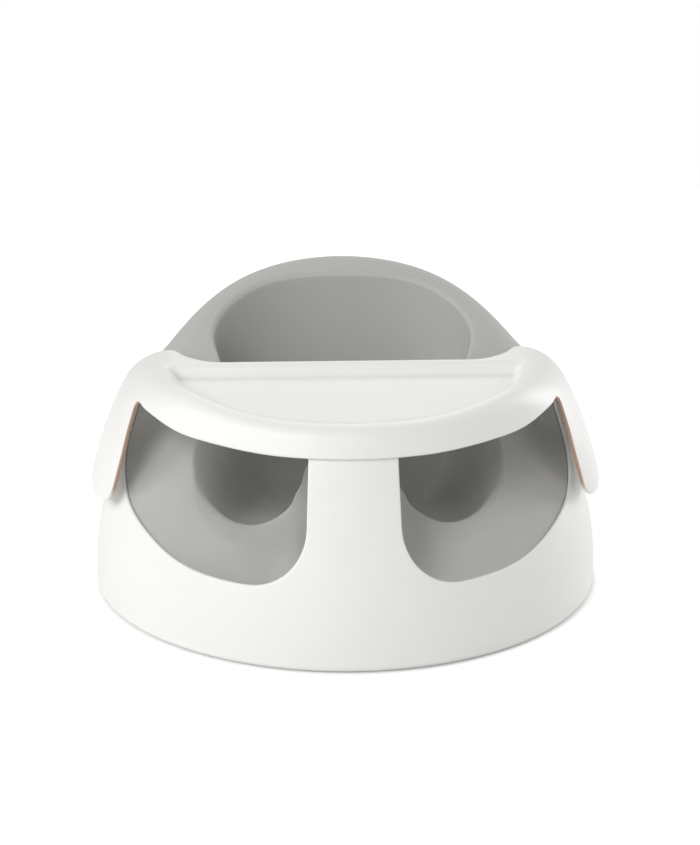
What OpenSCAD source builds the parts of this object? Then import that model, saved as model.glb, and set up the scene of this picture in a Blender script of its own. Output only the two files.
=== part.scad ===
// Baby floor seat: a round moulded base with two leg openings, a foam seat insert that
// lifts out of it, and a play tray whose two side arms hang over the base.
// Millimetres. The origin is on the floor under the middle of the base. The front faces -Y.

/* [Base] */
// Widest width of the round base
base_d = 414; // [380:2:500]
// Wall of the base shell
shell_wall = 3.5; // [2.5:0.5:4.5]
// Height at which the side starts to lean in
lean_start = 10; // [8:1:14]
// Radius of the curve in which the side leans in
lean_radius = 235; // [220:5:290]
// Final lean of the side, from upright
lean_angle = 18.8; // [16:0.1:20]
// Radius of the rolled bottom corner
edge_r = 4; // [3:1:6]
// Width of the flange turned in along the floor
flange_w = 21; // [19:1:24]
// Height of the rim at the sides, where the tray sits
side_rim_h = 166; // [150:1:200]
// How far the foam stands above the rim at the back
back_lip = 18; // [14:1:24]

/* [Leg openings] */
// Height of the sill that the legs pass over
sill_h = 64; // [60:1:76]
// Width of the front post under the tray
post_w = 62; // [52:1:74]
// Radius of the opening's corner beside the post
opening_r = 46; // [40:1:52]

/* [Floor pan and feet] */
// Height of the pan's underside above the floor
pan_h = 20; // [16:1:24]
// Thickness of the pan
pan_t = 3; // [2.5:0.5:4]
// Number of screws, bosses and feet
fixing_count = 6; // [4:2:8]
// Shank of the screws
screw_d = 3.2; // [3:0.2:4]
// Gap that the feet leave under the shell
foot_h = 1; // [1:0.5:3]
// Width of a rubber foot
foot_d = 12; // [10:1:13]

/* [Seat insert] */
// Height of the foam back
seat_back_h = 235; // [215:1:285]
// Height of the foam where the thighs rest
thigh_h = 79; // [72:1:95]
// Height of the seat surface
seat_h = 60; // [50:1:66]
// Gap between the foam and the shell
foam_gap = 0.8; // [0.4:0.1:1.5]

/* [Tray] */
// Thickness of the tray moulding
tray_wall = 3; // [2.5:0.1:4]
// How far the tray's front edge stands proud of the post
tray_proud = 3.6; // [3.4:0.1:6]
// Height of the tray's front edge below the side rim
skirt_overlap = 6; // [2:1:12]
// Depth of the play surface below the rear edge
recess_depth = 10; // [6:1:12]
// Length of an arm, measured over its curve from the crest
arm_length = 136; // [120:1:140]
// Width of the tongue inside an arm
tongue_w = 24; // [16:1:26]
// Thickness of that tongue
tongue_t = 3; // [2.6:0.2:3.4]
// Gap around the tongue in its socket, and under every resting face
fit_gap = 0.3; // [0.2:0.1:0.5]

/* [Hidden] */
eps = 0.01;
$fn = 96;

base_r = base_d / 2;
plan = base_r / 207;                      // how much wider than the drawn outlines
rim_back_h = seat_back_h - back_lip;
lean_end = lean_start + lean_radius * sin(lean_angle);
lean_end_r = base_r - lean_radius * (1 - cos(lean_angle));
shell_top = rim_back_h + 12;

// Outside radius of the shell at height z
function shell_r(z) =
    z <= lean_start ? base_r :
    z <= lean_end ? base_r - lean_radius + sqrt(pow(lean_radius, 2) - pow(z - lean_start, 2)) :
    lean_end_r - tan(lean_angle) * (z - lean_end);
function shell_in(z) = shell_r(z) - shell_wall;

function blend(a, b, t) = a + (b - a) * t;
function ease(from, to, x) =
    let (t = max(0, min(1, (x - from) / (to - from)))) t * t * (3 - 2 * t);
// Point halfway between b and c on the smooth curve through a, b, c, d
function midway(a, b, c, d) = (9 * (b + c) - a - d) / 16;
// The list with one smooth point added in each span
function denser(p) = [for (i = [0:len(p) - 1], half = [0, 1])
    if (half == 0) p[i]
    else if (i < len(p) - 1)
        midway(p[max(0, i - 1)], p[i], p[i + 1], p[min(len(p) - 1, i + 2)])];

// ---- Edges of the shell ----

rim_back_y = shell_r(rim_back_h);
// Height of the rim behind the middle: level at the sides and swept up at the back
function rim_z(y) = side_rim_h + (rim_back_h - side_rim_h) * pow(max(0, y) / rim_back_y, 2.6);

// Side edge of a leg opening, seen from the side: distance in front of the middle, and
// the share of the way up from the sill to the side rim
SIDE_EDGE = [[200, 0], [165, 0], [144, 0.012], [122, 0.075], [97, 0.17], [76, 0.262], [58, 0.363],
    [40, 0.466], [27, 0.56], [20.5, 0.67], [18, 0.82], [13, 0.95], [0, 1]];
side_edge = [for (p = denser(SIDE_EDGE)) [-p[0] * plan, blend(sill_h, side_rim_h, p[1])]];
side_cut_x = 100 * plan;

post_top = side_rim_h - skirt_overlap + 12;
post_flare = 3;                            // how much a side of the post widens on its way down
corner_x = post_w / 2 + post_flare + opening_r;

module opening_outline() {
    corner = [for (a = [180:6:270]) [corner_x + opening_r * cos(a),
        sill_h + opening_r * (1 + sin(a))]];
    polygon(concat([[post_w / 2, shell_top]], corner,
        [[side_cut_x + 8, sill_h], [side_cut_x + 8, shell_top]]));
}

module edge_cuts() {
    reach = base_r + 20;
    for (s = [0, 1]) mirror([s, 0, 0]) {
        rotate([90, 0, 0]) linear_extrude(reach) opening_outline();
        translate([side_cut_x, 0, 0]) rotate([90, 0, 90]) linear_extrude(reach)
            polygon(concat([[eps, shell_top + 1], [-reach, shell_top + 1], [-reach, sill_h]],
                side_edge));
    }
    translate([-reach, 0, 0]) rotate([90, 0, 90]) linear_extrude(2 * reach)
        polygon(concat([[0, shell_top + 1]],
            [for (i = [0:16]) let (y = rim_back_y * i / 15) [y, rim_z(y)]],
            [[reach, shell_top + 1]]));
    translate([-reach, -reach, post_top]) cube([2 * reach, reach, shell_top]);
}

// ---- Base shell ----

module shell_profile() {
    corner = [for (a = [-90:15:0]) [base_r - edge_r + edge_r * cos(a),
        foot_h + edge_r + edge_r * sin(a)]];
    heights = concat([lean_start], [for (i = [1:10]) lean_start + (lean_end - lean_start) * i / 10],
        [shell_top]);
    polygon(concat([[base_r - flange_w, foot_h]], corner,
        [for (z = heights) [shell_r(z), z]],
        [for (i = [len(heights) - 1:-1:0]) [shell_in(heights[i]), heights[i]]],
        [[shell_in(0), foot_h + shell_wall], [base_r - flange_w, foot_h + shell_wall]]));
}

module cavity_profile() {
    heights = [foot_h + shell_wall, lean_start, (lean_start + lean_end) / 2, lean_end, shell_top];
    polygon(concat([[0, heights[0]]], [for (z = heights) [shell_in(z), z]], [[0, shell_top]]));
}

// Sockets on the sides of the shell take the tray's tongues
socket_wall = 2.4;
socket_y = 2;                              // middle of an arm, seen from the side
socket_top = side_rim_h - 17;
socket_floor = socket_top - 15;
tongue_x = shell_r(socket_floor) + 2 + fit_gap;
socket_x = tongue_x + tongue_t + fit_gap + socket_wall;
socket_w = tongue_w + 2 * (fit_gap + socket_wall);

module socket_block() {
    low = socket_floor - 26;
    translate([0, socket_y + socket_w / 2, 0]) rotate([90, 0, 0]) linear_extrude(socket_w)
        polygon([[shell_r(socket_top) - shell_wall / 2, socket_top], [socket_x, socket_top],
            [socket_x, socket_floor - 6], [shell_r(low), low],
            [shell_r(low) - shell_wall / 2, low]]);
}

module socket_hole() {
    translate([tongue_x - fit_gap, socket_y - tongue_w / 2 - fit_gap, socket_floor])
        cube([tongue_t + 2 * fit_gap, tongue_w + 2 * fit_gap, socket_top]);
}

// Screws go up through the pan into bosses in the shell
pan_r = base_r - flange_w - 2;
pan_top = pan_h + pan_t;
fixing_r = pan_r - 9;
boss_d = 10;
boss_h = 22;
screw_length = 14;
foot_recess = 1;
foot_ring_r = base_r - flange_w / 2 - 1.5;
pilot_gap = 0.05;

module around(radius, turn = 0) {
    for (i = [0:fixing_count - 1]) rotate([0, 0, turn + i * 360 / fixing_count])
        translate([radius, 0, 0]) children();
}

module boss() {
    translate([0, 0, pan_top]) {
        cylinder(d = boss_d, h = boss_h);
        translate([0, -shell_wall / 2, 0])
            cube([shell_in(pan_top + boss_h) - fixing_r + 1, shell_wall, boss_h]);
    }
}

module base_shell() {
    color("#f4f3ef") {
        difference() {
            union() {
                difference() {
                    union() {
                        rotate_extrude($fn = 180) shell_profile();
                        for (s = [0, 1]) mirror([s, 0, 0]) socket_block();
                    }
                    rotate_extrude($fn = 180) cavity_profile();
                    for (s = [0, 1]) mirror([s, 0, 0]) socket_hole();
                    edge_cuts();
                }
                around(fixing_r, 180 / fixing_count) boss();
            }
            around(fixing_r, 180 / fixing_count) translate([0, 0, pan_top - 1])
                cylinder(d = screw_d + 2 * pilot_gap, h = screw_length + 1);
            around(foot_ring_r) translate([0, 0, foot_h - 1])
                cylinder(d = foot_d + fit_gap, h = foot_recess + 1);
        }
    }
}

// ---- Floor pan, screws and feet ----

head_d = 7;
head_h = 2.4;
seat_depth = 6;                            // how far the screw seats hang below the pan
pan_rib_h = 11;
pan_ring_r = 120 * plan;

module screw_seat() {
    translate([0, 0, pan_h - seat_depth]) cylinder(d = head_d + 5, h = seat_depth + eps);
}

module screw_bore() {
    translate([0, 0, pan_h - seat_depth - 1]) cylinder(d = head_d + 1, h = seat_depth + 1);
    translate([0, 0, pan_h - 1]) cylinder(d = screw_d + 1, h = pan_t + 2);
}

module floor_pan() {
    color("#d9d8d2") difference() {
        union() {
            translate([0, 0, pan_h]) cylinder(r = pan_r, h = pan_t, $fn = 180);
            translate([0, 0, pan_h - pan_rib_h]) {
                difference() {
                    cylinder(r = pan_ring_r, h = pan_rib_h + eps);
                    translate([0, 0, -1]) cylinder(r = pan_ring_r - pan_t, h = pan_rib_h + 2);
                }
                for (i = [0:fixing_count - 1]) rotate([0, 0, i * 360 / fixing_count])
                    translate([0, -pan_t / 2, 0]) cube([pan_ring_r - 1, pan_t, pan_rib_h + eps]);
            }
            around(fixing_r, 180 / fixing_count) screw_seat();
        }
        around(fixing_r, 180 / fixing_count) screw_bore();
    }
}

module pan_screws() {
    color("#9a9b9d") around(fixing_r, 180 / fixing_count) {
        translate([0, 0, pan_h - head_h]) difference() {
            cylinder(d = head_d, h = head_h);
            for (turn = [0, 90]) rotate([0, 0, turn])
                translate([-2, -0.45, -1]) cube([4, 0.9, 2.2]);
        }
        translate([0, 0, pan_h - eps]) cylinder(d = screw_d, h = pan_t + screw_length - 1);
    }
}

module foot(i) {
    color("#77787a") rotate([0, 0, (i - 1) * 360 / fixing_count])
        translate([foot_ring_r, 0, 0]) cylinder(d = foot_d, h = foot_h + foot_recess);
}

// ---- Seat insert ----

// One row for each station from the middle of the back round to the middle of the front:
// inner edge of the foam rim in plan (x, y), bearing of its outer edge, and how high the
// shell stands there as a share of the way from sill to side rim, for the foam's height
// and for its reach. Behind the openings the rim's own height is used.
STATIONS = [
    [0, 121, 0, 1, 1], [43, 118, 20, 1, 1], [75, 107, 36, 1, 1], [96, 90, 50, 1, 1],
    [108, 72, 60, 1, 1], [111, 53, 68, 1, 1], [106, 31, 77, 1, 1], [104, 7, 87, 1, 1],
    [110, -17, 95, 0.93, 1], [118, -36, 98.5, 0.56, 0.56], [123, -57, 104.5, 0.43, 0.43],
    [120, -79, 113, 0.28, 0.28], [111, -100, 124, 0.13, 0.13], [95, -120, 138, 0.01, 0.01],
    [75, -127, 151, 0, 0], [57, -122, 160, 0.02, 0.07], [48, -109, 166, 0.1, 0.21],
    [41, -94, 168, 0.08, 1.12], [35, -77, 172, 0.06, 1.12], [20, -62, 176, 0.06, 1.12],
    [0, -57, 180, 0.06, 1.12]];

crest_y = 134 * plan;                      // the back's highest line
thigh_y = -137 * plan;                     // the lip under the thighs
// Height of the tilted plane in which the foam rim lies
function rim_plane(y) = blend(thigh_h, seat_back_h, (y - thigh_y) / (crest_y - thigh_y));

half_row = denser(STATIONS);
stations = concat(half_row,
    [for (i = [len(half_row) - 2:-1:1]) let (s = half_row[i]) [-s[0], s[1], -s[2], s[3], s[4]]]);

floor_mid = [0, 10 * plan];
plug_h = 44;                               // below this the foam clears the pan's bosses
plug_r = fixing_r - boss_d / 2 - 5;
foam_lift = 0.8;                           // gap between the foam lip and the rim

// Height of the rim on bearing b, found by halving the error in steps
function rim_at(b, z, steps = 10) =
    steps == 0 ? z : rim_at(b, (z + rim_z(shell_in(z) * cos(b))) / 2, steps - 1);

// Radius of the shell's inner face where the foam has to pass it, on bearing b
function pass_r(b, reach) = shell_in(
    abs(b) < 90 ? rim_at(b, rim_back_h) : min(post_top, blend(sill_h, side_rim_h, reach)))
    - foam_gap;

function at(radius, bearing, z) = [radius * sin(bearing), radius * cos(bearing), z];

// Rings of one station from the seat surface out over the rim and down to the underside
function foam_section(s) =
    let (inner = [s[0] * plan, s[1] * plan],
         top = rim_plane(inner[1]),
         start = [0.6 * inner[0], 0.3 * inner[1] + floor_mid[1]],
         rise = top - seat_h,
         power = 2.2 + 1.8 * (1 - min(1, rise / 70)),
         pass = pass_r(s[2], s[4]),
         pass_y = pass * cos(s[2]),
         edge = pass_y > 0 ? rim_z(pass_y) : blend(sill_h, side_rim_h, s[3]),
         over = rim_plane(pass_y) - edge - 3,
         lip = pass_y > 0 && over > 0,
         outer_r = lip ? pass + min(1, over / 8) * (shell_wall + foam_gap) : pass,
         outer_z = lip ? rim_z(outer_r * cos(s[2])) + foam_lift : edge - 3,
         outer = at(outer_r, s[2], outer_z),
         wall = [for (t = [0, 0.35, 0.65, 0.87])
             concat(blend(start, inner, t), [seat_h + rise * pow(t, power)])],
         fall = blend(3, 2.3, ease(10, 50, abs(s[2]))),
         flank = [for (t = [0, 0.2, 0.42, 0.66, 0.87])
             let (p = blend(inner, [outer[0], outer[1]], t))
             concat(p, [blend(rim_plane(p[1]), outer_z, pow(t, fall))])],
         low_r = min(pass, plug_r))
    concat(
        [concat(blend(floor_mid, start, 0.5), [seat_h - 1])], wall, flank, [outer],
        [at(lip ? pass : pass - 0.5, s[2], lip ? edge + foam_lift : outer_z - 5),
         at(low_r, s[2], plug_h), at(low_r - 6, s[2], pan_top + fit_gap)]);

module seat_insert() {
    rows = [for (s = stations) foam_section(s)];
    n = len(rows);
    m = len(rows[0]);
    points = concat([for (r = rows) each r],
        [concat(floor_mid, [seat_h - 1]), [0, 0, pan_top + fit_gap]]);
    color("#b3b2ae") polyhedron(points, [for (i = [0:n - 1]) let (j = (i + 1) % n) each concat(
        [[n * m, i * m, j * m]],
        [for (k = [0:m - 2]) each [[i * m + k, i * m + k + 1, j * m + k],
            [j * m + k, i * m + k + 1, j * m + k + 1]]],
        [[n * m + 1, j * m + m - 1, i * m + m - 1]])]);
}

// ---- Tray ----

// The tray is a sheet drawn flat round the middle of the base and then bent. A bearing
// from the front and a distance past the crest give a point: the sheet turns down over the
// crest in one arc and goes on in a flatter one. Values are for the front, then the arms.
crest_h = [tray_edge_h() + 22, side_rim_h + 26];
crest_r = [shell_r(tray_edge_h()) + tray_proud - 17.2, shell_r(side_rim_h) - 27.4];
roll_r = [14, 48];
roll_angle = [70, 62.5];
drop_radius = [400, 290];
skirt_length = 31;
apex_length = 45;                          // where the skirt meets the arm
play_h = tray_rear_h() - recess_depth;
rear_y = -21 * plan;                       // the tray's straight rear edge

function tray_edge_h() = side_rim_h - skirt_overlap;
function tray_rear_h() = side_rim_h + 24;

function tray_point(flat, depth = 0) =
    let (g = norm(flat), a = atan2(flat[0], -flat[1]), side = abs(a),
         w = ease(44, 78, side),
         cr = blend(crest_r[0], crest_r[1], w), rr = blend(roll_r[0], roll_r[1], w),
         ra = blend(roll_angle[0], roll_angle[1], w),
         dr = blend(drop_radius[0], drop_radius[1], w),
         cz = blend(crest_h[0], crest_h[1], ease(15, 62, side)),
         q = g - cr, roll_q = rr * ra * PI / 180,
         turn = q <= 0 ? 0 : q < roll_q ? q / rr * 180 / PI : ra + (q - roll_q) / dr * 180 / PI,
         r = q <= 0 ? g : q < roll_q ? cr + rr * sin(turn)
             : cr + rr * sin(ra) + dr * (sin(turn) - sin(ra)),
         z = q <= 0 ? plate_z(flat, cr, cz, w) : q < roll_q ? cz - rr * (1 - cos(turn))
             : cz - rr * (1 - cos(ra)) - dr * (cos(ra) - cos(turn)))
    [(r - depth * sin(turn)) * sin(a), -(r - depth * sin(turn)) * cos(a), z - depth * cos(turn)];

// Height of the plate inside the crest: a sunk play surface, a rear rim and a rising lip
function plate_z(flat, cr, cz, w) =
    let (room = crest_h[1] - play_h,
         lip = (cz - play_h) * ease(cr - blend(9, 17, w), cr, norm(flat)),
         rim = (tray_rear_h() - play_h) * ease(rear_y - 14, rear_y - 3, flat[1]))
    play_h + lip + rim - lip * rim / room;

function skirt_q(a) = skirt_length + (apex_length - skirt_length) * pow(a / 68, 2.5);
function polar(a, g) = [g * sin(a), -g * cos(a)];
function front_edge(a, q) =
    let (w = ease(44, 78, a)) polar(a, blend(crest_r[0], crest_r[1], w) + q);

// Stations from the middle of the tray to the end of an arm. The sheet runs from a rear
// point to a front point at each. On the plate the rear point is (x, y) in front of or
// behind the rear edge, and the front one lies on the skirt's edge at a bearing.
PLATE = [[0, 0, 0], [13, 0, 5.5], [26, 0, 11], [42, 0, 18], [58, 0, 25], [74, 0, 32.5],
    [89, 0, 40], [101, 0, 48], [112, 3, 55], [123, 11, 61.5], [133, 23, 66]];
// On an arm both points are a bearing and a share of the arm's length past the crest
ARM = [[96, 0.015, 68.2, 0.34], [96.8, 0.13, 67.6, 0.41], [97, 0.27, 66.8, 0.52],
    [97, 0.42, 66.6, 0.62], [97, 0.57, 67, 0.72], [96.8, 0.7, 67.3, 0.81],
    [96, 0.82, 68, 0.885], [94.3, 0.9, 69.8, 0.94], [91, 0.96, 73, 0.975], [87, 0.99, 77.5, 0.993]];

plate_rows = [for (p = PLATE)
    [[p[0] * plan, rear_y + p[1] * plan], front_edge(p[2], skirt_q(p[2])), ease(50, 64, p[2])]];
arm_rows = [for (p = ARM)
    [front_edge(p[0], p[1] * arm_length), front_edge(p[2], p[3] * arm_length), 1]];

// Shares of the way from rear to front at which a row has points: on the plate they
// follow the rear rim, the lip, the crest and the roll, and on an arm they are even
function row_shares(rear, front, even) =
    let (length = norm(front - rear), drop = front[1] - rear[1],
         skirt = norm(front) - crest_r[0],
         rear_part = [for (y = [2.5, 6, 10, 14]) (rear_y - y - rear[1]) / drop],
         front_part = [for (d = [skirt + 9, skirt + 4, skirt, skirt * 0.78, skirt * 0.55, skirt * 0.28])
             1 - d / length],
         shares = concat([0], rear_part, [(rear_part[3] + front_part[0]) / 2], front_part, [1]))
    [for (i = [0:len(shares) - 1]) blend(shares[i], i / (len(shares) - 1), even)];

function flip(p) = [-p[0], p[1]];
half_tray = concat(plate_rows, arm_rows);
tray_rows = concat(
    [for (i = [len(half_tray) - 1:-1:1]) let (r = half_tray[i]) [flip(r[0]), flip(r[1]), r[2]]],
    half_tray);

module tray_sheet() {
    rings = [for (r = tray_rows)
        let (shares = row_shares(r[0], r[1], r[2]),
             flat = [for (t = shares) blend(r[0], r[1], t)])
        concat([for (p = flat) tray_point(p)],
            [for (i = [len(flat) - 1:-1:0]) tray_point(flat[i], tray_wall)])];
    n = len(rings);
    m = len(rings[0]);
    half = m / 2;
    polyhedron([for (r = rings) each r], concat(
        [for (i = [0:n - 2], k = [0:m - 1]) let (l = (k + 1) % m) each [
            [i * m + k, (i + 1) * m + k, i * m + l],
            [i * m + l, (i + 1) * m + k, (i + 1) * m + l]]],
        [for (end = [0, n - 1], k = [0:half - 2])
            let (a = end * m + k, b = end * m + k + 1, c = end * m + m - 2 - k, d = end * m + m - 1 - k)
            each end == 0 ? [[a, b, d], [b, c, d]] : [[a, d, b], [b, d, c]]]));
}

// Height of an arm's outer face at radius r, on the roll or past it
function arm_z(r) =
    let (out = r - crest_r[1], rolled = roll_r[1] * sin(roll_angle[1]))
    out < rolled ? crest_h[1] - roll_r[1] + sqrt(pow(roll_r[1], 2) - out * out)
    : let (turn = asin(sin(roll_angle[1]) + (out - rolled) / drop_radius[1]))
        crest_h[1] - roll_r[1] * (1 - cos(roll_angle[1]))
            - drop_radius[1] * (cos(roll_angle[1]) - cos(turn));

// Hanging inside an arm, the tongue drops into the socket on the shell
module tongue() {
    low = socket_floor + fit_gap;
    corner = norm([tongue_x + tongue_t, socket_y + tongue_w / 2]);
    translate([tongue_x, socket_y - tongue_w / 2, low])
        cube([tongue_t, tongue_w, arm_z(corner) - 0.5 - low]);
}

// Ribs under the shoulders stand on the side rims
module saddle_rib(y) {
    reach = [for (x = [-3, shell_wall + 4]) sqrt(pow(shell_in(side_rim_h), 2) - y * y) + x];
    low = side_rim_h + fit_gap;
    translate([0, y + tray_wall / 2, 0]) rotate([90, 0, 0]) linear_extrude(tray_wall)
        polygon([[reach[0], low], [reach[1], low],
            for (x = [reach[1], reach[0]]) [x, arm_z(norm([x, y])) - 0.75 * tray_wall]]);
}

module tray() {
    color("#f6f5f1") union() {
        tray_sheet();
        for (s = [0, 1]) mirror([s, 0, 0]) {
            tongue();
            saddle_rib(-12);
            saddle_rib(8);
        }
    }
}

base_shell();
floor_pan();
pan_screws();
for (i = [1:fixing_count]) foot(i);
seat_insert();
tray();
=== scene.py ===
"""Baby floor seat: a moulded base shell, a lift-out foam insert and a play tray.

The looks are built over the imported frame, in metres, with the front facing -Y. Sizes in the
dataclasses are millimetres, as in the part's own drawing. A bearing runs from the back round
by +X, and on the tray from the front.
"""

import logging
from dataclasses import dataclass
from enum import Enum

import bpy
import numpy as np
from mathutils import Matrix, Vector


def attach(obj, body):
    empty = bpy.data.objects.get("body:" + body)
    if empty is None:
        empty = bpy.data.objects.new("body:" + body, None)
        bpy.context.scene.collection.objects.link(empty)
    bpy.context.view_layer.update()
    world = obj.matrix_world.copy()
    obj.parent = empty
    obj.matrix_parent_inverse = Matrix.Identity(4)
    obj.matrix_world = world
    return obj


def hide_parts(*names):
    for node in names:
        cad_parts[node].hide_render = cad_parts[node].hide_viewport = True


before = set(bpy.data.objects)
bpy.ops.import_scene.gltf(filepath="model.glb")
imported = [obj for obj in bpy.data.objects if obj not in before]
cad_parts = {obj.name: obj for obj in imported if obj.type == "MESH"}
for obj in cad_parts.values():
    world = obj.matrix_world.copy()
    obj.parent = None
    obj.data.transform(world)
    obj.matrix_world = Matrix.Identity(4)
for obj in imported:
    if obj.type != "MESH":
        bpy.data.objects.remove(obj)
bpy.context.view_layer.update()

LOG = logging.getLogger("floor_seat")
MM = 0.001
Array = np.ndarray
Colour = tuple[float, float, float]
Place = tuple[float, float, float]


# ---- Curves and surfaces ----------------------------------------------------------------


def ease(start: float, end: float, x: Array) -> Array:
    """Smooth step from 0 at start to 1 at end: t * t * (3 - 2 t)."""
    t = np.clip((np.asarray(x, float) - start) / (end - start), 0, 1)
    return t * t * (3 - 2 * t)


def blend(a: Array, b: Array, t: Array) -> Array:
    """Straight mix of a and b by the share t."""
    return a + (b - a) * t


def xyz(x: Array, y: Array, z: Array) -> Array:
    """Points from their coordinates, of which any may be a single number."""
    return np.stack(np.broadcast_arrays(x, y, z), -1)


def polar(radius: Array, bearing: Array, z: Array) -> Array:
    """Points at a radius and a height, on a bearing in radians from the back round by +X."""
    return xyz(radius * np.sin(bearing), radius * np.cos(bearing), z)


def raised(plan: Array, z: Array) -> Array:
    """Points over those of a plan, shape (..., 2), at heights of shape (..., 1)."""
    return np.concatenate([plan, np.broadcast_to(z, plan.shape[:-1] + (1,))], -1)


def unit(v: Array) -> Array:
    """Vectors of length 1 along v."""
    return v / np.maximum(np.linalg.norm(v, axis=-1, keepdims=True), 1e-12)


def around(count: int, shift: float = 0.0) -> Array:
    """Angles of points evenly round a circle, turned on by a share of their step."""
    return 2 * np.pi * (np.arange(count) + shift) / count


def rounded(x: tuple[float, float], y: tuple[float, float], r: float, a: Array) -> tuple:
    """x and y of a rounded rectangle: a circle of radius r pushed out to four corners."""
    c, s = np.cos(a), np.sin(a)
    return np.where(c > 0, x[1] - r, x[0] + r) + r * c, np.where(s > 0, y[1] - r, y[0] + r) + r * s


def gap_of(knots: Array, at: Array) -> Array:
    """Number of the gap between two knots that each parameter lies in."""
    return np.clip(np.searchsorted(knots, at, side="right") - 1, 0, len(knots) - 2)


def hermite(a: Array, slope_a: Array, b: Array, slope_b: Array, t: Array) -> Array:
    """Cubic from a to b with a slope at each end, for t from 0 to 1."""
    s = 1 - t
    return (1 + 2 * t) * s**2 * a + t * s**2 * slope_a + t**2 * (3 - 2 * t) * b - t**2 * s * slope_b


def spline(knots: Array, values: Array, at: Array) -> Array:
    """Natural cubic spline: between two knots the curve is a cubic whose bend runs evenly
    from one knot's to the next's, and the bends make the slopes meet at every knot.

    Args:
        knots: rising parameters, shape (k,).
        values: values at the knots, shape (k, m).
        at: parameters to look up, shape (n,).

    Returns:
        The values there, shape (n, m).
    """
    gap = np.diff(knots)
    i = np.arange(1, len(knots) - 1)
    system = np.eye(len(knots))
    system[i, i - 1], system[i, i], system[i, i + 1] = gap[:-1], 2 * (gap[:-1] + gap[1:]), gap[1:]
    right = np.zeros_like(values, dtype=float)
    right[1:-1] = 6 * np.diff(np.diff(values, axis=0) / gap[:, None], axis=0)
    bend = np.linalg.solve(system, right)
    k = gap_of(knots, at)
    d = gap[k][:, None]
    u, w = (at - knots[k])[:, None], (knots[k + 1] - at)[:, None]
    return ((w**3 * bend[k] + u**3 * bend[k + 1]) / (6 * d)
            + (values[k] / d - bend[k] * d / 6) * w
            + (values[k + 1] / d - bend[k + 1] * d / 6) * u)


def monotone(knots: Array, values: Array, at: Array) -> Array:
    """Cubic through the knots that never passes beyond their values: each slope is the
    harmonic mean of its neighbours' slopes, or 0 where they differ in sign.

    Args:
        knots: rising parameters, shape (k,).
        values: values at the knots, shape (k, m).
        at: parameters to look up, shape (n,).

    Returns:
        The values there, shape (n, m).
    """
    gap = np.diff(knots)
    steep = np.diff(values, axis=0) / gap[:, None]
    slope = np.zeros_like(values, dtype=float)
    product = steep[:-1] * steep[1:]
    total = np.where(product > 0, steep[:-1] + steep[1:], 1)
    slope[1:-1] = np.where(product > 0, 2 * product / total, 0)
    k = gap_of(knots, at)
    d = gap[k][:, None]
    t = np.clip((at - knots[k])[:, None] / d, 0, 1)
    return hermite(values[k], d * slope[k], values[k + 1], d * slope[k + 1], t)


def travelled(path: Array) -> Array:
    """Distance along each path of shape (..., n, 2 or 3), from its first point."""
    steps = np.linalg.norm(np.diff(path, axis=-2), axis=-1)
    return np.concatenate([np.zeros(steps.shape[:-1] + (1,)), np.cumsum(steps, -1)], -1)


def walk(path: Array, distance: Array) -> Array:
    """Points at given distances along several paths at once, on straight lines between
    each path's own points.

    Args:
        path: points, shape (n, m, 3).
        distance: distances along each path, shape (n, k).

    Returns:
        The points there, shape (n, k, 3).
    """
    run = travelled(path)
    last = path.shape[1] - 2
    k = np.clip((run[:, None, :] <= distance[:, :, None]).sum(-1) - 1, 0, last)
    row = np.arange(len(path))[:, None]
    span = np.maximum(run[row, k + 1] - run[row, k], 1e-9)
    t = ((distance - run[row, k]) / span)[..., None]
    return blend(path[row, k], path[row, k + 1], t)


def bridge(a: Array, along_a: Array, b: Array, along_b: Array, count: int) -> Array:
    """Rounded join between two points: the cubic that leaves a along one direction and
    reaches b along the other.

    Args:
        a: first points, shape (n, 3).
        along_a: directions there, with their strength, shape (n, 3).
        b: last points, shape (n, 3).
        along_b: directions there, with their strength, shape (n, 3).
        count: number of points between the two.

    Returns:
        The points between a and b, shape (n, count, 3).
    """
    t = (np.arange(1, count + 1) / (count + 1))[None, :, None]
    return hermite(a[:, None], along_a[:, None], b[:, None], along_b[:, None], t)


def placed(name: str, data: bpy.types.ID) -> bpy.types.Object:
    """Makes an object of a mesh, camera or lamp and puts it into the scene.

    Args:
        name: the object's name.
        data: what it shows.

    Returns:
        The object, at the origin.
    """
    made = bpy.data.objects.new(name, data)
    bpy.context.scene.collection.objects.link(made)
    return made


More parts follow.
